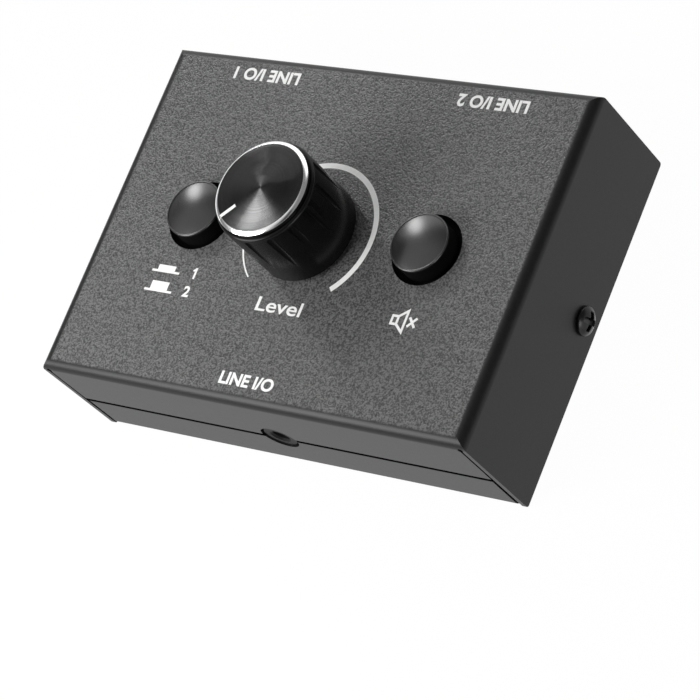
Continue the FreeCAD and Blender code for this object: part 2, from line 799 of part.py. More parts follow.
def pointer_bar(grow):
    """The pointer's bar, from its inner end out past the disc's edge; grown, it cuts its own groove."""
    half = pointer_width / 2 + grow
    foot = knob_height - pointer_depth - grow
    bar = block(pointer_inner_radius - grow, disc_radius + OVER, -half, half, foot, knob_height + OVER)
    return bar.rotated(ORIGIN, Z_AXIS, knob_pointer_deg)


def knob():
    """The knob's pieces by node name."""
    nodes = {
        "knob_shell": knob_shell(),
        "knob_disc": disc_blank().cut(pointer_bar(pointer_clearance)),
        "knob_pointer": disc_blank().common(pointer_bar(0)),
    }
    return {name: moved(shape, knob_x, knob_y, knob_foot) for name, shape in nodes.items()}


# ---------------------------------------------------------------- push-push switches
def switch_cavity():
    return switch_width / 2 - switch_wall


def switch_pins(grow):
    """Three terminals along each side wall, down through the base and the board."""
    pins = []
    outer = switch_cavity() - switch_fit_gap
    half = switch_pin_width / 2 + grow
    for side in (-1, 1):
        near, far = sorted((side * (outer - switch_pin_thickness - grow), side * (outer + grow)))
        for i in (-1, 0, 1):
            y = i * switch_pin_pitch
            pins.append(block(near, far, y - half, y + half, pin_foot - board_top, switch_pin_rise))
    return pins


def latch_wire_y():
    """The latch wire stands midway between the carrier and the rear wall."""
    return (carrier_depth / 2 + switch_cavity()) / 2


def switch_housing():
    half = switch_width / 2
    cavity = switch_cavity()
    ceiling = switch_height - switch_roof
    housing = block(-half, half, -half, half, 0, switch_height)
    neck = plunger_neck / 2 + plunger_neck_clearance
    hollow = block(-cavity, cavity, -cavity, cavity, -OVER, ceiling)
    return housing.cut([hollow, block(-neck, neck, -neck, neck, ceiling - OVER, switch_height + OVER)])


def switch_base():
    """Plate in the foot of the housing, with the spring's post and the latch wire's socket."""
    half = switch_cavity() - switch_fit_gap
    base = block(-half, half, -half, half, 0, switch_base_thickness)
    base = base.fuse(post(spring_post_diameter / 2, 0, 0, 0, switch_base_thickness + spring_post_height))
    socket = switch_base_thickness - latch_socket_depth
    cuts = switch_pins(switch_fit_gap)
    wire_hole = latch_wire / 2 + switch_fit_gap
    cuts.append(post(wire_hole, 0, latch_wire_y(), socket, switch_base_thickness + OVER))
    return base.cut(cuts).removeSplitter()


def switch_latch_wire():
    """Bent wire that follows the carrier's cam slot."""
    y = latch_wire_y()
    radius = latch_wire / 2
    upright = post(radius, 0, y, switch_base_thickness - latch_socket_depth, latch_hook_height)
    tip = carrier_depth / 2 - latch_hook_reach
    hook = Part.makeCylinder(radius, y - tip, V(0, y, latch_hook_height), -Y_AXIS)
    return upright.fuse([hook, Part.makeSphere(radius, V(0, y, latch_hook_height))]).removeSplitter()


def carrier_levels():
    top = switch_height - switch_roof - carrier_roof_gap
    return top - carrier_height, top


def switch_plunger():
    """Square neck on a carrier block that holds the spring and has the latch's cam slot."""
    foot, top = carrier_levels()
    neck = plunger_neck / 2
    face = carrier_depth / 2
    plunger = block(-carrier_width / 2, carrier_width / 2, -face, face, foot, top)
    plunger = plunger.fuse(block(-neck, neck, -neck, neck, top - OVER, plunger_top - board_top))
    bore = spring_diameter / 2 + spring_bore_clearance
    slot = latch_slot_width / 2
    cuts = [
        post(bore, 0, 0, foot - OVER, top - spring_bore_roof),
        block(-slot, slot, face - latch_slot_depth, face + OVER, foot - OVER, top + OVER),
    ]
    return plunger.cut(cuts).removeSplitter()


def switch_bridges():
    """Sliding contact plates on both sides of the carrier."""
    middle = sum(carrier_levels()) / 2
    inner = carrier_width / 2
    half = bridge_height / 2
    outer = inner + bridge_thickness
    plate = block(inner, outer, -bridge_overhang, carrier_depth / 2, middle - half, middle + half)
    return Part.makeCompound([plate, plate.rotated(ORIGIN, Z_AXIS, 180)])


def switch_spring():
    """Compression spring between the base and the carrier's bore."""
    foot = switch_base_thickness + spring_wire / 2
    top = carrier_levels()[1] - spring_bore_roof - spring_wire / 2
    radius = (spring_diameter - spring_wire) / 2
    helix = Part.makeHelix((top - foot) / spring_coils, top - foot, radius)
    section = Part.Wire(Part.makeCircle(spring_wire / 2, V(radius, 0, 0), Y_AXIS))
    wire = Part.Wire(helix).makePipeShell([section], True, True)
    wire.translate(V(0, 0, foot))
    return wire


def button_cap():
    """Hollow round cap with a crowned top inside a raised rim, a captive flange and a square-holed boss."""
    radius = button_diameter / 2
    rim = case_height + button_rim_height
    flange_top = panel_underside - button_flange_gap
    flange_foot = flange_top - button_flange_thickness
    flange = button_flange_diameter / 2
    crown_radius = radius - button_rim_width
    ceiling = rim - button_roof
    inside = radius - button_wall
    crown_foot = rim - button_rim_step
    corners = [
        (0, rim + button_crown), (0, ceiling), (inside, ceiling), (inside, button_foot),
        (radius, button_foot), (radius, flange_foot), (flange, flange_foot), (flange, flange_top),
        (radius, flange_top), (radius, rim - button_rim_chamfer), (radius - button_rim_chamfer, rim),
        (crown_radius, rim), (crown_radius, crown_foot),
    ]
    path = Part.makePolygon([V(r, 0, z) for r, z in corners]).Edges
    path.append(crown(crown_radius, crown_foot, button_crown + button_rim_step))
    cap = Part.Face(Part.Wire(path)).revolve(ORIGIN, Z_AXIS, 360)
    cap = cap.fuse(post(button_boss_diameter / 2, 0, 0, button_foot, ceiling + button_roof / 2))
    grip = plunger_neck / 2 + push_fit_clearance
    hole = block(-grip, grip, -grip, grip, button_foot - OVER, plunger_top + push_fit_clearance)
    return cap.cut(hole).removeSplitter()


def switches():
    """Both switches' pieces by node name."""
    nodes = {}
    on_board = {
        "switch_housing": switch_housing(),
        "switch_base": switch_base(),
        "switch_terminals": Part.makeCompound(switch_pins(0)),
        "latch_wire": switch_latch_wire(),
        "plunger": switch_plunger(),
        "contact_bridges": switch_bridges(),
        "spring": switch_spring(),
    }
    for name, x in button_places():
        for piece, shape in on_board.items():
            nodes[f"{name}_{piece}"] = moved(shape, x, button_y, board_top)
        nodes[f"{name}_button"] = moved(button_cap(), x, button_y, 0)
    return nodes


# ---------------------------------------------------------------- circuit board
def board_cuts():
    """Holes for every screw, pin, leg and peg that passes through the board."""
    screw_hole = screw_diameter / 2 + screw_hole_clearance
    cuts = [post(screw_hole, x, y, board_bottom - OVER, board_top + OVER) for x, y in board_fixings()]
    pot_holes = pot_pins(pin_hole_clearance) + pot_legs(pin_hole_clearance)
    cuts += [moved(hole, knob_x, knob_y, board_top) for hole in pot_holes]
    for name, x in button_places():
        cuts += [moved(hole, x, button_y, board_top) for hole in switch_pins(pin_hole_clearance)]
    for name, x, y, turn in jack_places():
        legs = [contact_leg(side, end, pin_hole_clearance) for side, start, end in jack_contacts.values()]
        cuts += [moved(hole, x, y, jack_axis_height, turn) for hole in legs + jack_pegs(pin_hole_clearance)]
    return cuts


def circuit_board():
    half_x = board_half_width
    half_y = board_half_depth
    board = block(-half_x, half_x, -half_y, half_y, board_bottom, board_top)
    corners = [edge for edge in board.Edges if abs(edge.Length - board_thickness) < TINY]
    board = board.makeFillet(board_corner_radius, corners)
    slab = block(-half_x, half_x, -half_y, half_y, board_bottom - OVER, board_top + OVER)
    return board.cut([hole.common(slab) for hole in board_cuts()])


# ---------------------------------------------------------------- the whole switch
def assembly():
    """Every node by name."""
    nodes = {
        "top_cover": top_cover(),
        "bottom_chassis": bottom_chassis(),
        "side_screws": side_screws(),
        "circuit_board": circuit_board(),
        "board_standoffs": board_standoffs(),
        "board_screws": board_screws(),
    }
    nodes.update(jacks())
    nodes.update(level_control())
    nodes.update(knob())
    nodes.update(switches())
    return nodes


os.makedirs("parts", exist_ok=True)
for node, shape in assembly().items():
    shape.exportStep(f"parts/{node}.step")
    box = shape.BoundBox
    print(
        f"{node}: {len(shape.Solids)} solid(s), valid {shape.isValid()}, {shape.Volume:.1f} mm3, "
        f"x {box.XMin:.2f}..{box.XMax:.2f} y {box.YMin:.2f}..{box.YMax:.2f} z {box.ZMin:.2f}..{box.ZMax:.2f}"
    )
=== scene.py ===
import math

import bpy
import numpy as np
from mathutils import Matrix, Vector


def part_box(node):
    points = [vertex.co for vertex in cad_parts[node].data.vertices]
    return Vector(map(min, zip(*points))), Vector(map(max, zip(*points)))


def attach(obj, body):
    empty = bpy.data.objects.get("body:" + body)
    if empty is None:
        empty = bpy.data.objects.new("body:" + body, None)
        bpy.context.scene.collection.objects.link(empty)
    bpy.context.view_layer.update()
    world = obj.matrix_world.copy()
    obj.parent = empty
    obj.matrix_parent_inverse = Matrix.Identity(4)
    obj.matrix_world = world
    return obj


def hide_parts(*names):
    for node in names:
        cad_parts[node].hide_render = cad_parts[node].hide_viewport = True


# Looks of the speaker selector switch.  Lengths are in millimetres, and are scaled to metres when a
# mesh or a lamp is made.  X runs to the right, Y to the rear and Z up.

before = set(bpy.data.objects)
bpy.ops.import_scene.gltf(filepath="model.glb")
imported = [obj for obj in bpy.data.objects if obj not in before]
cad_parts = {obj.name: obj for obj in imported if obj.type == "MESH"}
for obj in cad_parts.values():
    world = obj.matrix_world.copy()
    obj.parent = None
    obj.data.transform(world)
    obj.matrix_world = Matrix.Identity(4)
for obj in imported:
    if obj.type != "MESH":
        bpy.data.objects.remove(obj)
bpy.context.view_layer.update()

MM = 0.001


def reach(node):
    """Lowest and highest corner of a CAD node in millimetres."""
    low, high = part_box(node)
    return np.array(low) / MM, np.array(high) / MM


def middle(node):
    """Middle of a CAD node's box in millimetres."""
    low, high = reach(node)
    return (low + high) / 2


panel_top = reach("top_cover")[1][2]
panel_thickness = 1.0
half_width = reach("top_cover")[1][0]
crown_rise = 0.8
disc_chamfer_width = 0.73
disc_chamfer_height = 0.45
disc_edge_height = reach("knob_disc")[1][2] - disc_chamfer_height
disc_radius = (reach("knob_disc")[1][0] - reach("knob_disc")[0][0]) / 2
disc_face_radius = disc_radius - disc_chamfer_width


# ---------------------------------------------------------------- camera
lens = 164.62
sensor = 36.0
camera_place = (362.156, -183.471, 467.303)
camera_turn_deg = 64.727
camera_lean_deg = 49.281
camera_roll_deg = 47.990

camera = bpy.data.objects.new("camera", bpy.data.cameras.new("camera"))
camera.data.lens = lens
camera.data.sensor_width = sensor
camera.data.clip_start = 0.01
camera.data.clip_end = 100.0
camera.matrix_world = (
    Matrix.Translation(Vector(camera_place) * MM)
    @ Matrix.Rotation(math.radians(camera_turn_deg), 4, "Z")
    @ Matrix.Rotation(math.radians(90 - camera_lean_deg), 4, "X")
    @ Matrix.Rotation(math.radians(-camera_roll_deg), 4, "Z")
)
bpy.context.scene.collection.objects.link(camera)
bpy.context.scene.camera = camera


# ---------------------------------------------------------------- shader maths
class Value:
    """A shader socket.  Arithmetic on it adds Math nodes to its node tree."""

    def __init__(self, finish, socket):
        self.finish = finish
        self.socket = socket

    def maths(self, operation, *terms):
        """One Math node on the given terms."""
        return self.finish.node("ShaderNodeMath", {"operation": operation}, dict(enumerate(terms)))

    def __add__(self, other):
        return self.maths("ADD", self, other)

    def __sub__(self, other):
        return self.maths("SUBTRACT", self, other)

    def __rsub__(self, other):
        return self.maths("SUBTRACT", other, self)

    def __mul__(self, other):
        return self.maths("MULTIPLY", self, other)

    __radd__ = __add__
    __rmul__ = __mul__

    def above(self, low, high):
        """0 below the first value, 1 above the second, smooth between them."""
        sockets = {"Value": self, "From Min": low, "From Max": high}
        return self.finish.node("ShaderNodeMapRange", {"interpolation_type": "SMOOTHSTEP"}, sockets)

    def between(self, low, high, soft):
        """1 between two values, falling to 0 over a soft border outside them."""
        return self.above(low - soft, low) * (1 - self.above(high, high + soft))


class Finish:
    """The node tree of a material or of the world."""

    def __init__(self, owner):
        owner.use_nodes = True
        self.owner = owner
        self.tree = owner.node_tree
        self.tree.nodes.clear()

    def node(self, kind, settings, sockets, output=0):
        """Any node: its settings first, then its sockets' values or links.  Gives one of its outputs."""
        node = self.tree.nodes.new(kind)
        for name, value in settings.items():
            setattr(node, name, value)
        for name, value in sockets.items():
            if isinstance(value, Value):
                self.tree.links.new(value.socket, node.inputs[name])
            else:
                node.inputs[name].default_value = value
        return Value(self, node.outputs[output]) if node.outputs else None

    def place(self):
        """The point's place on the piece, in metres."""
        return self.node("ShaderNodeTexCoord", {}, {}, "Object")

    def part(self, vector, letter):
        """The X, Y or Z part of a vector."""
        return self.node("ShaderNodeSeparateXYZ", {}, {"Vector": vector}, letter)

    def along(self, letter):
        """The point's X, Y or Z in millimetres.  Z is its height above the ground."""
        return self.part(self.place(), letter) * (1 / MM)

    def noise(self, size, detail=2.0):
        """Even noise from 0 to 1 whose features are about one size, in millimetres."""
        sockets = {"Vector": self.place(), "Scale": 1 / (size * MM), "Detail": detail}
        return self.node("ShaderNodeTexNoise", {}, sockets, "Fac")

    def blend(self, share, first, second):
        """A mix of two colours."""
        settings = {"data_type": "RGBA"}
        return self.node("ShaderNodeMix", settings, {0: share, 6: first, 7: second}, 2)

    def bump(self, height, depth):
        """A normal from a height of 0 to 1 that stands for a depth in millimetres."""
        sockets = {"Strength": 1.0, "Distance": depth * MM, "Height": height}
        return self.node("ShaderNodeBump", {}, sockets)

    def mix(self, share, first, second):
        """A mix of two shaders."""
        return self.node("ShaderNodeMixShader", {}, {0: share, 1: first, 2: second})

    def coat(self, sockets):
        """A surface with the given sockets of the Principled shader."""
        return self.node("ShaderNodeBsdfPrincipled", {}, sockets, "BSDF")

    def close(self, shader, kind="ShaderNodeOutputMaterial"):
        """Puts a shader on the output.  Gives the material or the world."""
        self.node(kind, {}, {"Surface": shader})
        return self.owner


def open_material(slot):
    """A new material for one of the record's slots."""
    return Finish(bpy.data.materials.new(slot + "_finish"))


def grey(level):
    """A colour with three equal parts."""
    return (level, level, level, 1.0)


def shades(colour, spread):
    """A colour made darker and lighter by a share of itself."""
    dark = tuple(part * (1 - spread) for part in colour) + (1.0,)
    light = tuple(min(part * (1 + spread), 1.0) for part in colour) + (1.0,)
    return dark, light


# ---------------------------------------------------------------- finishes
# how far below the panel's top the grain and the top's painted sheen start and are full
grain_and_sheen_start = 0.06
grain_and_sheen_full = 0.01
# widths of the smooth border of the top, along X and along Y, and of its fade into the grain and the
# painted sheen
smooth_border = (1.9, 1.4)
smooth_fade = 0.6
fine_wrinkle = 0.36
coarse_wrinkle = 0.8
fine_share = 0.75
wrinkle_depth = 0.13
# how far below the top of the chassis walls the painted shade of the seam starts and is full
wall_top = 11.2
seam_shade_start = 0.45
seam_shade_full = 0.1
# how far below a button's rim the gloss starts and is full; lower down the shade in the hole is painted
gloss_start = 0.5
gloss_full = 0.2
# the line between the disc's dark face and its bright chamfer: its half width, and how far below the
# chamfer's lower edge it starts and above it is full
chamfer_line = 0.02
bright_start = 0.03
bright_full = 0.01


def smooth_paint(finish):
    """The black coat where it is smooth, on the bends and the walls."""
    skin = finish.noise(0.6)
    return finish.coat({
        "Base Color": finish.blend(skin.above(0.35, 0.65), grey(0.006), grey(0.008)),
        "Roughness": 0.38 + (skin - 0.5) * 0.05,
        "Specular IOR Level": 0.27,
        "Normal": finish.bump(skin, 0.002),
    })


def cover_paint(slot):
    """Black powder coat.  A wrinkled grain, two sizes of noise added up, is on the flat top only: it
    fades out towards the bends, where the coat is smooth.  The grained top is painted several times
    lighter than the smooth coat, a painted sheen for the light the panel reflects, mottled by the grain."""
    finish = open_material(slot)
    fine = finish.noise(fine_wrinkle, 1.0)
    coarse = finish.noise(coarse_wrinkle, 1.0)
    grain = fine * fine_share + coarse * (1 - fine_share)
    top = finish.coat({
        # painted sheen: the grained top's colour is several times lighter than the smooth coat's, mottled
        # by the grain
        "Base Color": finish.blend(grain.above(0.36, 0.64), grey(0.038), grey(0.122)),
        "Roughness": 0.3 + (grain - 0.5) * 0.15,
        "Specular IOR Level": 0.33,
        "Normal": finish.bump(grain, wrinkle_depth),
    })
    on_top = finish.along("Z").above(panel_top - grain_and_sheen_start, panel_top - grain_and_sheen_full)
    for letter, corner, border in zip("XY", reach("top_cover")[1], smooth_border):
        flat = corner - border - smooth_fade
        on_top = finish.along(letter).between(-flat, flat, smooth_fade) * on_top
    return finish.close(finish.mix(on_top, smooth_paint(finish), top))


def chassis_paint(slot):
    """The same smooth coat; the walls' top edges and the top of their faces under the cover's lip have
    the seam's shade painted on, dark and matt.
    """
    finish = open_material(slot)
    seam_shade = finish.coat({"Base Color": grey(0.002), "Roughness": 0.9, "Specular IOR Level": 0.0})
    # painted shade: the shadow in the seam under the cover's lip, drawn as a dark matt coat
    in_seam_shade = finish.along("Z").above(wall_top - seam_shade_start, wall_top - seam_shade_full)
    return finish.close(finish.mix(in_seam_shade, smooth_paint(finish), seam_shade))


def moulded(slot, colour, roughness, grain=0.5, grain_depth=0.0015, spread=0.12, gloss=0.5):
    """Moulded or printed plastic: a faint noise in shade and gloss, and a slight orange peel."""
    finish = open_material(slot)
    mottle = finish.noise(grain * 6)
    peel = finish.noise(grain, 1.0)
    return finish.close(finish.coat({
        "Base Color": finish.blend(mottle.above(0.3, 0.7), *shades(colour, spread)),
        "Roughness": roughness + (mottle - 0.5) * 0.08,
        "Specular IOR Level": gloss,
        "Normal": finish.bump(peel, grain_depth),
    }))


def metal(slot, colour, roughness, grain=0.15, grain_depth=0.001, spread=0.12):
    """Bare or plated metal: drawn or cast noise in shade, gloss and surface."""
    finish = open_material(slot)
    cloud = finish.noise(grain * 10)
    grit = finish.noise(grain)
    return finish.close(finish.coat({
        "Base Color": finish.blend(cloud.above(0.3, 0.7), *shades(colour, spread)),
        "Metallic": 1.0,
        "Roughness": roughness + (grit - 0.5) * 0.1,
        "Normal": finish.bump(grit, grain_depth),
    }))


def turned_disc_metal(slot):
    """Dark anodised face with a bright diamond-cut chamfer: the chamfer's mask is the distance from
    the knob's axis, and rings of noise along that distance vary the face's shade."""
    finish = open_material(slot)
    centre = middle("knob_disc") * MM
    from_axis = finish.node("ShaderNodeVectorMath", {"operation": "SUBTRACT"},
                            {0: finish.place(), 1: (centre[0], centre[1], 0.0)})
    flat = finish.node("ShaderNodeVectorMath", {"operation": "MULTIPLY"},
                       {0: from_axis, 1: (1.0, 1.0, 0.0)})
    length = finish.node("ShaderNodeVectorMath", {"operation": "LENGTH"}, {0: flat}, "Value")
    radius = length * (1 / MM)
    height = finish.along("Z")
    above_edge = height.above(disc_edge_height - bright_start, disc_edge_height + bright_full)
    outside = radius.above(disc_face_radius - chamfer_line, disc_face_radius + chamfer_line)
    bright = outside * above_edge
    rings = finish.node("ShaderNodeTexNoise", {"noise_dimensions": "1D"},
                        {"W": radius, "Scale": 3.0, "Detail": 2.0}, "Fac")
    face = finish.blend(rings.above(0.3, 0.7), grey(0.05), grey(0.061))
    return finish.close(finish.coat({
        "Base Color": finish.blend(bright, face, grey(0.93)),
        "Metallic": 1.0,
        "Roughness": 0.14 + bright * 0.03,
    }))


def button_plastic(slot, level, roughness):
    """Glossy black plastic; below the cap's rim the moulding has painted shade: matt and far darker, for
    the shade in the hole around the cap and on the cap's side.
    """
    finish = open_material(slot)
    mottle = finish.noise(3.0)
    glossy = finish.coat({
        "Base Color": finish.blend(mottle.above(0.3, 0.7), grey(level * 0.9), grey(level * 1.1)),
        "Roughness": roughness + (mottle - 0.5) * 0.04,
        "Specular IOR Level": 0.75,
        "Normal": finish.bump(finish.noise(0.35, 1.0), 0.0003),
    })
    # painted shade: the cap's side and flange in the hole, matt and far darker than the cap
    painted_shade_matt = finish.coat({"Base Color": grey(level * 0.2), "Roughness": 0.9, "Specular IOR Level": 0.05})
    rim = reach("mute_button")[1][2] - crown_rise
    capped = finish.along("Z").above(rim - gloss_start, rim - gloss_full)
    return finish.close(finish.mix(capped, painted_shade_matt, glossy))


def finishes():
    """Every slot's material, by the slot's name."""
    return {
        "cover_paint": cover_paint("cover_paint"),
        "chassis_paint": chassis_paint("chassis_paint"),
        "black_screw": metal("black_screw", (0.035, 0.035, 0.036), 0.3, 0.2, 0.004),
        "board_laminate": moulded("board_laminate", (0.02, 0.13, 0.05), 0.35, 0.4),
        "plated_steel": metal("plated_steel", (0.62, 0.61, 0.58), 0.28),
        "zinc_casting": metal("zinc_casting", (0.46, 0.46, 0.47), 0.42, 0.3, 0.004),
        "spring_brass": metal("spring_brass", (0.62, 0.44, 0.17), 0.3),
        "spring_steel": metal("spring_steel", (0.5, 0.5, 0.5), 0.26),
        "jack_plastic": moulded("jack_plastic", (0.006, 0.006, 0.006), 0.5, gloss=0.12),
        "switch_plastic": moulded("switch_plastic", (0.03, 0.03, 0.032), 0.45),
        "plunger_plastic": moulded("plunger_plastic", (0.72, 0.71, 0.67), 0.4),
        "pot_resin": moulded("pot_resin", (0.035, 0.05, 0.09), 0.5),
        "wafer_laminate": moulded("wafer_laminate", (0.28, 0.16, 0.07), 0.5),
        "shaft_metal": metal("shaft_metal", (0.58, 0.58, 0.57), 0.3, 0.2),
        "knob_plastic": moulded("knob_plastic", (0.004, 0.004, 0.004), 0.22, 0.6, 0.0007, gloss=0.15),
        "knob_disc_metal": turned_disc_metal("knob_disc_metal"),
        "pointer_paint": moulded("pointer_paint", (0.8, 0.8, 0.79), 0.5, 0.2, 0.002, 0.03),
        "button_plastic": button_plastic("button_plastic", 0.012, 0.25),
        "white_print": moulded("white_print", (0.76, 0.76, 0.75), 0.55, 0.2, 0.002, 0.03),
    }


FINISHES = finishes()

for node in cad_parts.values():
    for holder in node.material_slots:
        holder.material = FINISHES[holder.material.name]


# ---------------------------------------------------------------- meshes from arrays
def piece(name, points, faces, body, slot, sharp_deg=40.0):
    """A mesh piece from points in millimetres and a list of faces.  It rides on a body and takes one
    slot's finish; edges sharper than an angle stay sharp."""
    mesh = bpy.data.meshes.new(name)
    mesh.from_pydata((np.asarray(points) * MM).tolist(), [], faces)
    mesh.materials.append(FINISHES[slot])
    mesh.shade_smooth()
    mesh.set_sharp_from_angle(angle=math.radians(sharp_deg))
    mesh.update()
    thing = bpy.data.objects.new(name, mesh)
    bpy.context.scene.collection.objects.link(thing)
    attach(thing, body)
    return thing


def band_faces(rows, columns):
    """Quads of a grid of rows whose columns close on themselves."""
    row, column = np.meshgrid(np.arange(rows - 1), np.arange(columns), indexing="ij")
    here = row * columns + column
    beside = row * columns + (column + 1) % columns
    return np.stack([here, beside, beside + columns, here + columns], -1).reshape(-1, 4)


def revolved(rings, foot, top):
    """A closed surface from rings of points, shape (rows, columns, 3), and a pole below and above them.
    Each ring runs anticlockwise, and the rings go up the outside, so faces point outwards."""
    rows, columns = rings.shape[:2]
    points = np.concatenate([rings.reshape(-1, 3), [foot], [top]])
    faces = band_faces(rows, columns).tolist()
    around = np.arange(columns)
    after = (around + 1) % columns
    below = np.full(columns, rows * columns)
    last = (rows - 1) * columns
    faces += np.stack([after, around, below], -1).tolist()
    faces += np.stack([last + around, last + after, below + 1], -1).tolist()
    return points, faces


def turned_rings(profile, columns):
    """Rings of a profile of (radius, height) points turned about Z: each point goes round a full circle
    in equal steps."""
    turn = np.linspace(0, 2 * np.pi, columns, endpoint=False)
    radius, height = np.asarray(profile, float).T
    return np.stack([
        radius[:, None] * np.cos(turn),
        radius[:, None] * np.sin(turn),
        np.repeat(height[:, None], columns, 1),
    ], -1)


def turned(profile, columns):
    """A closed turned solid: the profile's first and last points lie on the axis and become its poles."""
    rings = turned_rings(profile[1:-1], columns)
    return revolved(rings, (0, 0, profile[0][1]), (0, 0, profile[-1][1]))


def on_axis_of(node, points):
    """Points turned about Z, moved onto the upright axis of a CAD node."""
    x, y, _ = middle(node)
    return points + np.array([x, y, 0])


def arc(centre, radius, start_deg, end_deg, steps):
    """Points of an arc in the (radius, height) plane."""
    angle = np.radians(np.linspace(start_deg, end_deg, steps))
    return np.stack([centre[0] + radius * np.cos(angle), centre[1] + radius * np.sin(angle)], -1)


def crown(radius, foot, rise, steps):
    """Points of a spherical crown from its rim towards its top: height is the sphere's height at each
    radius, less the sphere's height at the rim, plus the foot."""
    sphere = (radius ** 2 + rise ** 2) / (2 * rise)
    out = radius * np.linspace(1, 0, steps)[:-1]
    return np.stack([out, foot + rise - sphere + np.sqrt(sphere ** 2 - out ** 2)], -1)


# ---------------------------------------------------------------- knob's disc
dimple_radius = 0.35
dimple_depth = 0.2
dimple_lip = 0.05
# where the dimple's lip ends, as a share of the dimple's radius
dimple_wall = 0.85
# how far the points beside the chamfer's two corners stay off them
edge_break = 0.01
face_break = 0.02
# where the chamfer has its points, as shares of its width from the outside
chamfer_shares = (0.02, 0.5, 0.97)
cut_pitch = 0.12
cut_points = 5
cut_depth = 0.0205
long_slope = 0.8
face_sunk = 0.004
disc_columns = 192
disc_sharp_deg = 25.0


def turning_marks(radius):
    """Depth of the lathe's marks at a radius: a slanted wave with one pitch, a long slope that faces the
    axis and a short one that faces out, whose depth swells and fades slowly from mark to mark."""
    phase = (radius / cut_pitch) % 1.0
    saw = np.where(phase < long_slope, phase / long_slope, (1 - phase) / (1 - long_slope))
    swell = 0.9 + 0.1 * np.sin(radius * 19.0) * np.sin(radius * 2.1 + 0.7)
    return cut_depth * swell * (1 - saw)


def turned_disc():
    """The knob's disc: its profile is turned about the axis, and the face is lowered by the marks."""
    foot = reach("knob_disc")[0][2]
    top = reach("knob_disc")[1][2]
    steps = int((disc_face_radius - dimple_radius) / cut_pitch * cut_points)
    out = np.linspace(disc_face_radius - face_break, dimple_radius, steps)
    profile = [(0, foot), (disc_radius, foot), (disc_radius, disc_edge_height - edge_break)]
    profile += [(disc_radius - share * disc_chamfer_width, top - disc_chamfer_height * (1 - share))
                for share in chamfer_shares]
    profile += list(zip(out, top - face_sunk - turning_marks(out)))
    profile += [(dimple_radius * dimple_wall, top - dimple_lip), (0, top - dimple_depth)]
    points, faces = turned(profile, disc_columns)
    points = on_axis_of("knob_disc", points)
    disc = piece("turned_disc", points, faces, "knob", "knob_disc_metal", disc_sharp_deg)
    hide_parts("knob_disc")


turned_disc()


# ---------------------------------------------------------------- push buttons
flange_thickness = 1.0
flange_gap = 0.35
flange_step = 1.8
cap_wall = 1.2
cap_roof = 1.3
rim_width = 0.35
rim_step = 0.12
rim_round = 0.24
rim_arc_deg = 117.0
rim_points = 9
crown_points = 40
cap_columns = 144
boss_radius = 3.1
boss_hole = 2.3
boss_grip = 3.2


def push_cap(name, body):
    """A hollow round cap with a captive flange and a boss: one profile, turned about the button's axis.
    The rim is an arc, and the crowned top springs from inside it."""
    low, high = reach(name + "_button")
    flange = (high[0] - low[0]) / 2
    radius = flange - flange_step
    rim = high[2] - crown_rise
    foot = low[2]
    flange_top = panel_top - panel_thickness - flange_gap
    flange_foot = flange_top - flange_thickness
    ceiling = rim - cap_roof
    profile = [
        (0, foot + boss_grip), (boss_hole, foot + boss_grip), (boss_hole, foot), (boss_radius, foot),
        (boss_radius, ceiling), (radius - cap_wall, ceiling), (radius - cap_wall, foot), (radius, foot),
        (radius, flange_foot), (flange, flange_foot), (flange, flange_top), (radius, flange_top),
    ]
    rim_centre = (radius - rim_round, rim - rim_round)
    profile += arc(rim_centre, rim_round, 0, rim_arc_deg, rim_points).tolist()
    profile += crown(radius - rim_width, rim - rim_step, crown_rise + rim_step, crown_points).tolist()
    profile += [(0, high[2])]
    points, faces = turned(profile, cap_columns)
    points = on_axis_of(name + "_button", points)
    cap = piece(name + "_cap", points, faces, body, "button_plastic")
    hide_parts(name + "_button")


push_cap("select", "select_push")
push_cap("mute", "mute_push")


# ---------------------------------------------------------------- side screws
head_radius = 2.85
head_height = 1.7
head_edge = 0.6
head_side = 0.42
head_break = 0.04
head_round = 0.12
shank_radius = 1.5
shank_length = 6.0
recess_reach = 2.0
recess_half_width = 0.62
recess_depth = 1.1
# the share of its depth that the recess has lost at the ends of its arms
recess_floor_rise = 0.5
recess_wall = 0.24
recess_end_wall = 0.48
cross_turn_deg = 12.0
screw_columns = 240
screw_rows = 60
screw_sharp_deg = 60.0


def smooth(share):
    """0 below 0, 1 above 1, and an even S-curve between them."""
    share = np.clip(share, 0, 1)
    return share * share * (3 - 2 * share)


def screw_points(columns, rows):
    """Rings and poles of a cross-recess pan head screw along Z.  The head's height over the plane is a
    spherical crown less the recess: a cross whose depth falls off along its arms and whose walls are
    smooth steps."""
    sphere_rise = head_height - head_edge
    sphere = (head_radius ** 2 + sphere_rise ** 2) / (2 * sphere_rise)
    spread = np.linspace(1, 0, rows)[:-1]
    turn = np.linspace(0, 2 * np.pi, columns, endpoint=False)
    radius = (head_radius - head_round) * spread[:, None] * np.ones(columns)
    x = radius * np.cos(turn)
    y = radius * np.sin(turn)
    height = head_edge + sphere_rise - sphere + np.sqrt(sphere ** 2 - radius ** 2)
    lean = math.radians(cross_turn_deg)
    across = x * math.cos(lean) + y * math.sin(lean)
    along = y * math.cos(lean) - x * math.sin(lean)
    arm = np.maximum(np.abs(across), np.abs(along))
    side = np.minimum(np.abs(across), np.abs(along))
    depth = recess_depth * (1 - recess_floor_rise * (arm / recess_reach) ** 2)
    side_walls = smooth((recess_half_width - side) / recess_wall)
    end_walls = smooth((recess_reach - arm) / recess_end_wall)
    crown_rings = np.stack([x, y, height - depth * side_walls * end_walls], -1)
    profile = [
        (shank_radius, -shank_length), (shank_radius, 0.0), (head_radius, 0.0),
        (head_radius, head_side), (head_radius - head_break, head_edge),
    ]
    rings = np.concatenate([turned_rings(profile, columns), crown_rings])
    return rings, (0, 0, -shank_length), (0, 0, head_height - recess_depth)


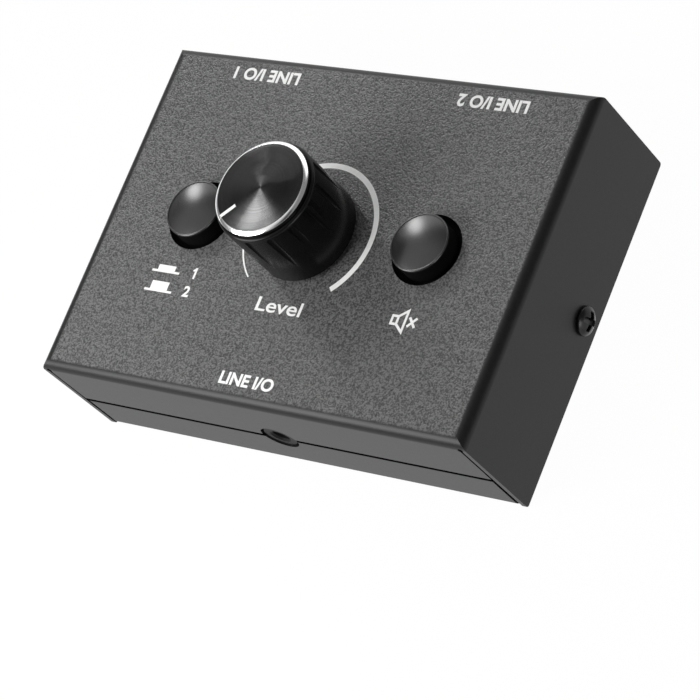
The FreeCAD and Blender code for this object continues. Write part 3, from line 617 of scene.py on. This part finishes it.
def side_screw_pair():
    """Both screws: one set of points, turned so that its axis points out of each side of the box."""
    rings, foot, top = screw_points(screw_columns, screw_rows)
    points, faces = revolved(rings, foot, top)
    height = middle("side_screws")[2]
    right = np.stack([points[:, 2] + half_width, points[:, 0], points[:, 1] + height], -1)
    left = np.stack([-points[:, 2] - half_width, -points[:, 0], points[:, 1] + height], -1)
    both = faces + [[corner + len(points) for corner in face] for face in faces]
    points = np.concatenate([right, left])
    pair = piece("side_screw_pair", points, both, "case", "black_screw", screw_sharp_deg)
    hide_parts("side_screws")


side_screw_pair()


# ---------------------------------------------------------------- printing on the panel
print_sunk = 0.01
print_proud = 0.012
print_step = 0.002


def ribbon(left, right, closed=False):
    """A printed strip between two edge lines, as a thin closed solid: a flat rectangular section is
    carried along the lines, and an open strip is capped at both ends."""
    left = np.asarray(left, float)
    right = np.asarray(right, float)
    low = np.full((len(left), 1), panel_top - print_sunk)
    high = np.full((len(left), 1), panel_top + print_proud)
    section = np.stack([
        np.hstack([left, high]), np.hstack([left, low]),
        np.hstack([right, low]), np.hstack([right, high]),
    ], 1)
    rows = len(section)
    points = section.reshape(-1, 3)
    if closed:
        return points, (band_faces(rows + 1, 4) % (rows * 4)).tolist()
    end = (rows - 1) * 4
    caps = [[3, 2, 1, 0], [end, end + 1, end + 2, end + 3]]
    return points, band_faces(rows, 4).tolist() + caps


def stroke(points, width, closed=False):
    """A pen stroke along a path: its edge lines are the path shifted half a width to each side, mitred
    at the corners."""
    path = np.asarray(points, float)
    ahead = np.roll(path, -1, 0) - path
    behind = path - np.roll(path, 1, 0)
    if not closed:
        ahead[-1] = behind[-1]
        behind[0] = ahead[0]
    ahead /= np.linalg.norm(ahead, axis=1, keepdims=True)
    behind /= np.linalg.norm(behind, axis=1, keepdims=True)
    bisector = ahead + behind
    bisector /= np.linalg.norm(bisector, axis=1, keepdims=True)
    normal = np.stack([-bisector[:, 1], bisector[:, 0]], -1)
    side = np.stack([-ahead[:, 1], ahead[:, 0]], -1)
    shift = normal * (width / 2 / np.sum(normal * side, 1, keepdims=True))
    return ribbon(path + shift, path - shift, closed)


def printed(name, strips):
    """One piece of print from several strips, each a step higher than the one before it, so that strips
    may cross."""
    points = []
    faces = []
    for strip_points, strip_faces in strips:
        start = sum(len(part) for part in points)
        points.append(strip_points + np.array([0, 0, print_step * len(points)]))
        faces += [[corner + start for corner in face] for face in strip_faces]
    piece(name, np.concatenate(points), faces, "case", "white_print")


ring_centre = (-0.48, 0.065)
ring_middle_radius = 14.36
ring_start_deg = 228.0
ring_end_deg = -47.0
ring_thin = 0.28
ring_thick = 1.1
ring_full_deg = 100.0
ring_points = 160


def level_ring():
    """The level scale: an arc around the knob whose width swells from its start to full width."""
    angle_deg = np.linspace(ring_start_deg, ring_end_deg, ring_points)
    angle = np.radians(angle_deg)
    share = smooth((ring_start_deg - angle_deg) / (ring_start_deg - ring_full_deg))
    width = ring_thin + (ring_thick - ring_thin) * share
    way = np.stack([np.cos(angle), np.sin(angle)], -1)
    outer = np.array(ring_centre) + way * (ring_middle_radius + width[:, None] / 2)
    inner = np.array(ring_centre) + way * (ring_middle_radius - width[:, None] / 2)
    printed("level_ring", [ribbon(outer, inner)])


def bar(x0, x1, y0, y1):
    """A printed rectangle."""
    return ribbon([(x0, y1), (x1, y1)], [(x0, y0), (x1, y0)])


marks_x = -29.6
mark_bar_width = 6.7
mark_bar_height = 0.45
mark_block_width = 4.2
# the foot of each mark and the height of its block: the button in, and the button out
marks = ((-12.5, 1.1), (-16.6, 1.75))


def select_marks():
    """Two marks for the latching button, in and out: a low and a tall block on a bar each."""
    strips = []
    for foot, height in marks:
        top = foot + mark_bar_height
        for width, low, high in ((mark_bar_width, foot, top), (mark_block_width, top, top + height)):
            strips.append(bar(marks_x - width / 2, marks_x + width / 2, low, high))
    printed("select_marks", strips)


digit_stem = (-22.75, -22.3, -12.85, -10.55)
digit_flag = ((-23.15, -11.25), (-22.5, -10.75))
digit_flag_width = 0.4


def select_digit_1():
    """The digit 1: an upright stem and a slanted flag."""
    printed("select_digit_1", [bar(*digit_stem), stroke(digit_flag, digit_flag_width)])


mute_centre = (27.8, -14.2)
mute_line = 0.5


def mute_mark():
    """A plain outline of a loudspeaker with a cross beside it."""
    box = [(-1.3, -0.8), (-2.6, -0.8), (-2.6, 0.8), (-1.3, 0.8)]
    cone = [(-1.35, -0.8), (0.35, -2.15), (0.35, 2.15), (-1.35, 0.8)]
    crosses = [[(1.1, -0.95), (2.75, 0.95)], [(1.1, 0.95), (2.75, -0.95)]]
    centre = np.array(mute_centre)
    strips = [stroke(centre + np.array(cone), mute_line, True)]
    strips += [stroke(centre + np.array(line), mute_line) for line in (box, *crosses)]
    printed("mute_mark", strips)


def words(name, text, x, y, width, height, turn_deg=0.0, weight=0.032):
    """Printed words, centred at a place, scaled to a width and a height, and turned.  The letters'
    outlines are made a mesh first, then their points are scaled and turned as one array."""
    curve = bpy.data.curves.new(name, "FONT")
    curve.body = text
    curve.offset = weight
    curve.extrude = 0.5
    curve.resolution_u = 6
    lettering = bpy.data.objects.new(name + "_curve", curve)
    bpy.context.scene.collection.objects.link(lettering)
    bpy.context.view_layer.update()
    drawn = lettering.evaluated_get(bpy.context.evaluated_depsgraph_get())
    mesh = bpy.data.meshes.new_from_object(drawn)
    bpy.data.objects.remove(lettering)
    points = np.zeros(len(mesh.vertices) * 3)
    mesh.vertices.foreach_get("co", points)
    points = points.reshape(-1, 3)
    faces = [list(face.vertices) for face in mesh.polygons]
    bpy.data.meshes.remove(mesh)
    low = points.min(0)
    size = points.max(0) - low
    flat = (points - low) / size - 0.5
    flat *= np.array([width, height, print_sunk + print_proud])
    turn = math.radians(turn_deg)
    across = flat[:, 0] * math.cos(turn) - flat[:, 1] * math.sin(turn) + x
    along = flat[:, 0] * math.sin(turn) + flat[:, 1] * math.cos(turn) + y
    level = flat[:, 2] + panel_top + (print_proud - print_sunk) / 2
    piece(name, np.stack([across, along, level], -1), faces, "case", "white_print")


level_ring()
select_marks()
mute_mark()
words("level_word", "Level", -0.3, -15.5, 10.6, 2.9, weight=0.012)
words("front_jack_words", "LINE I/O", -0.6, -31.1, 12.6, 2.6)
words("port_1_words", "LINE I/O 1", -25.6, 31.5, 16.0, 2.7, 180.0)
words("port_2_words", "LINE I/O 2", 28.0, 31.2, 16.0, 2.7, 180.0)
select_digit_1()
words("select_digit_2", "2", -22.8, -15.6, 1.5, 2.3)


# ---------------------------------------------------------------- floor and light
floor_reach = 4000.0
floor_level = -0.02
floor_grey = 0.8
floor_white_share = 0.98
under_edge = 0.6
under_soft = 0.2


def bright_rays(finish):
    """1 for camera, glossy and transmission rays."""
    camera_ray, glossy_ray, through_ray = (
        finish.node("ShaderNodeLightPath", {}, {}, kind)
        for kind in ("Is Camera Ray", "Is Glossy Ray", "Is Transmission Ray")
    )
    return camera_ray.maths("MAXIMUM", camera_ray.maths("MAXIMUM", camera_ray, glossy_ray), through_ray)


def floor():
    """A plain pale floor, white to the camera and in reflections, that keeps a faint shadow.  Under the
    box it is in the dark, so no light comes up through the gaps between the sheets."""
    corners = np.array([(-1, -1, 0), (1, -1, 0), (1, 1, 0), (-1, 1, 0)]) * floor_reach
    mesh = bpy.data.meshes.new("floor")
    mesh.from_pydata(((corners + (0, 0, floor_level)) * MM).tolist(), [], [(0, 1, 2, 3)])
    plane = bpy.data.objects.new("floor", mesh)
    bpy.context.scene.collection.objects.link(plane)
    finish = Finish(bpy.data.materials.new("floor_finish"))
    under = 1.0
    for letter, low, high in zip("XY", *reach("top_cover")):
        under = finish.along(letter).between(low + under_edge, high - under_edge, under_soft) * under
    seen = bright_rays(finish) * (1 - under)
    paper = finish.node("ShaderNodeBsdfDiffuse", {}, {"Color": grey(floor_grey)})
    white = finish.node("ShaderNodeEmission", {}, {"Color": grey(1.0), "Strength": 1.0})
    mesh.materials.append(finish.close(finish.mix(seen * floor_white_share, paper, white)))


room_level = 0.2
# soft lamps far away: direction, level, half width sideways and upwards in degrees, and how many times
# as far out the light has faded to nothing
lamps = [
    ((-0.705, 0.525, 0.477), 9.2, 3.8, 9.5, 1.9),
    ((-0.4, -0.2, 0.89), 0.6, 24.0, 24.0, 1.8),
    ((-0.59, -0.55, 0.59), 1.15, 12.0, 12.0, 1.5),
    ((-0.59, -0.76, 0.2), 0.7, 10.0, 9.0, 1.8),
    ((0.83, -0.42, 0.2), 4.5, 10.0, 10.0, 2.0),
    ((0.22, -0.3, 0.93), -0.19, 14.0, 14.0, 1.4),
]
# the long panel behind: its level, its ends and fade in degrees from +X, and its reach up and fade
back_level = 1.15
back_ends_deg = (68.0, 136.0)
back_fade_deg = 8.0
back_rise = (-0.1, 0.66)
back_rise_fade = 0.08


def studio():
    """Soft studio light from all round: a dim room, a tall soft lamp over the rear left, three wide ones
    over the front left, a low fill from the front right, a dark card overhead that takes light away,
    and a long panel behind.  The room is white to the camera."""
    finish = Finish(bpy.data.worlds.new("studio"))
    bpy.context.scene.world = finish.owner
    way = finish.node("ShaderNodeTexCoord", {}, {}, "Generated")

    def along(direction):
        return finish.node("ShaderNodeVectorMath", {"operation": "DOT_PRODUCT"},
                           {0: way, 1: tuple(direction)}, "Value")

    level = room_level
    for direction, strength, side_deg, rise_deg, fade in lamps:
        ahead = Vector(direction).normalized()
        side = ahead.cross(Vector((0, 0, 1))).normalized()
        across = along(side) * (1 / math.sin(math.radians(side_deg)))
        upward = along(side.cross(ahead)) * (1 / math.sin(math.radians(rise_deg)))
        square = across * across + upward * upward
        off = square.maths("SQRT", square)
        front = along(ahead).above(0.0, 0.1)
        level = level + (1 - off.above(1.0, fade)) * front * strength
    x, y, z = (finish.part(way, letter) for letter in "XYZ")
    azimuth = x.maths("ARCTAN2", y, x)
    behind = azimuth.between(*map(math.radians, (*back_ends_deg, back_fade_deg)))
    level = level + behind * z.between(*back_rise, back_rise_fade) * back_level
    camera_ray = finish.node("ShaderNodeLightPath", {}, {}, "Is Camera Ray")
    strength = level * (1 - camera_ray) + camera_ray
    light = finish.node("ShaderNodeBackground", {}, {"Color": grey(1.0), "Strength": strength})
    finish.close(light, "ShaderNodeOutputWorld")


front_lamp_way = (-0.44, -0.62, 0.65)
front_lamp_distance = 210.0
front_lamp_side = 135.0
front_lamp_power = 0.4


def front_lamp():
    """A soft square lamp close to the box, at its front left, so that the front of the panel is the
    brighter part."""
    lamp = bpy.data.lights.new("front_lamp", "AREA")
    lamp.size = front_lamp_side * MM
    lamp.energy = front_lamp_power
    holder = bpy.data.objects.new("front_lamp", lamp)
    way = Vector(front_lamp_way).normalized()
    turn = way.to_track_quat("Z", "Y").to_matrix().to_4x4()
    holder.matrix_world = Matrix.Translation(way * front_lamp_distance * MM) @ turn
    bpy.context.scene.collection.objects.link(holder)


floor()
studio()
front_lamp()
bpy.context.scene.view_settings.view_transform = "Standard"
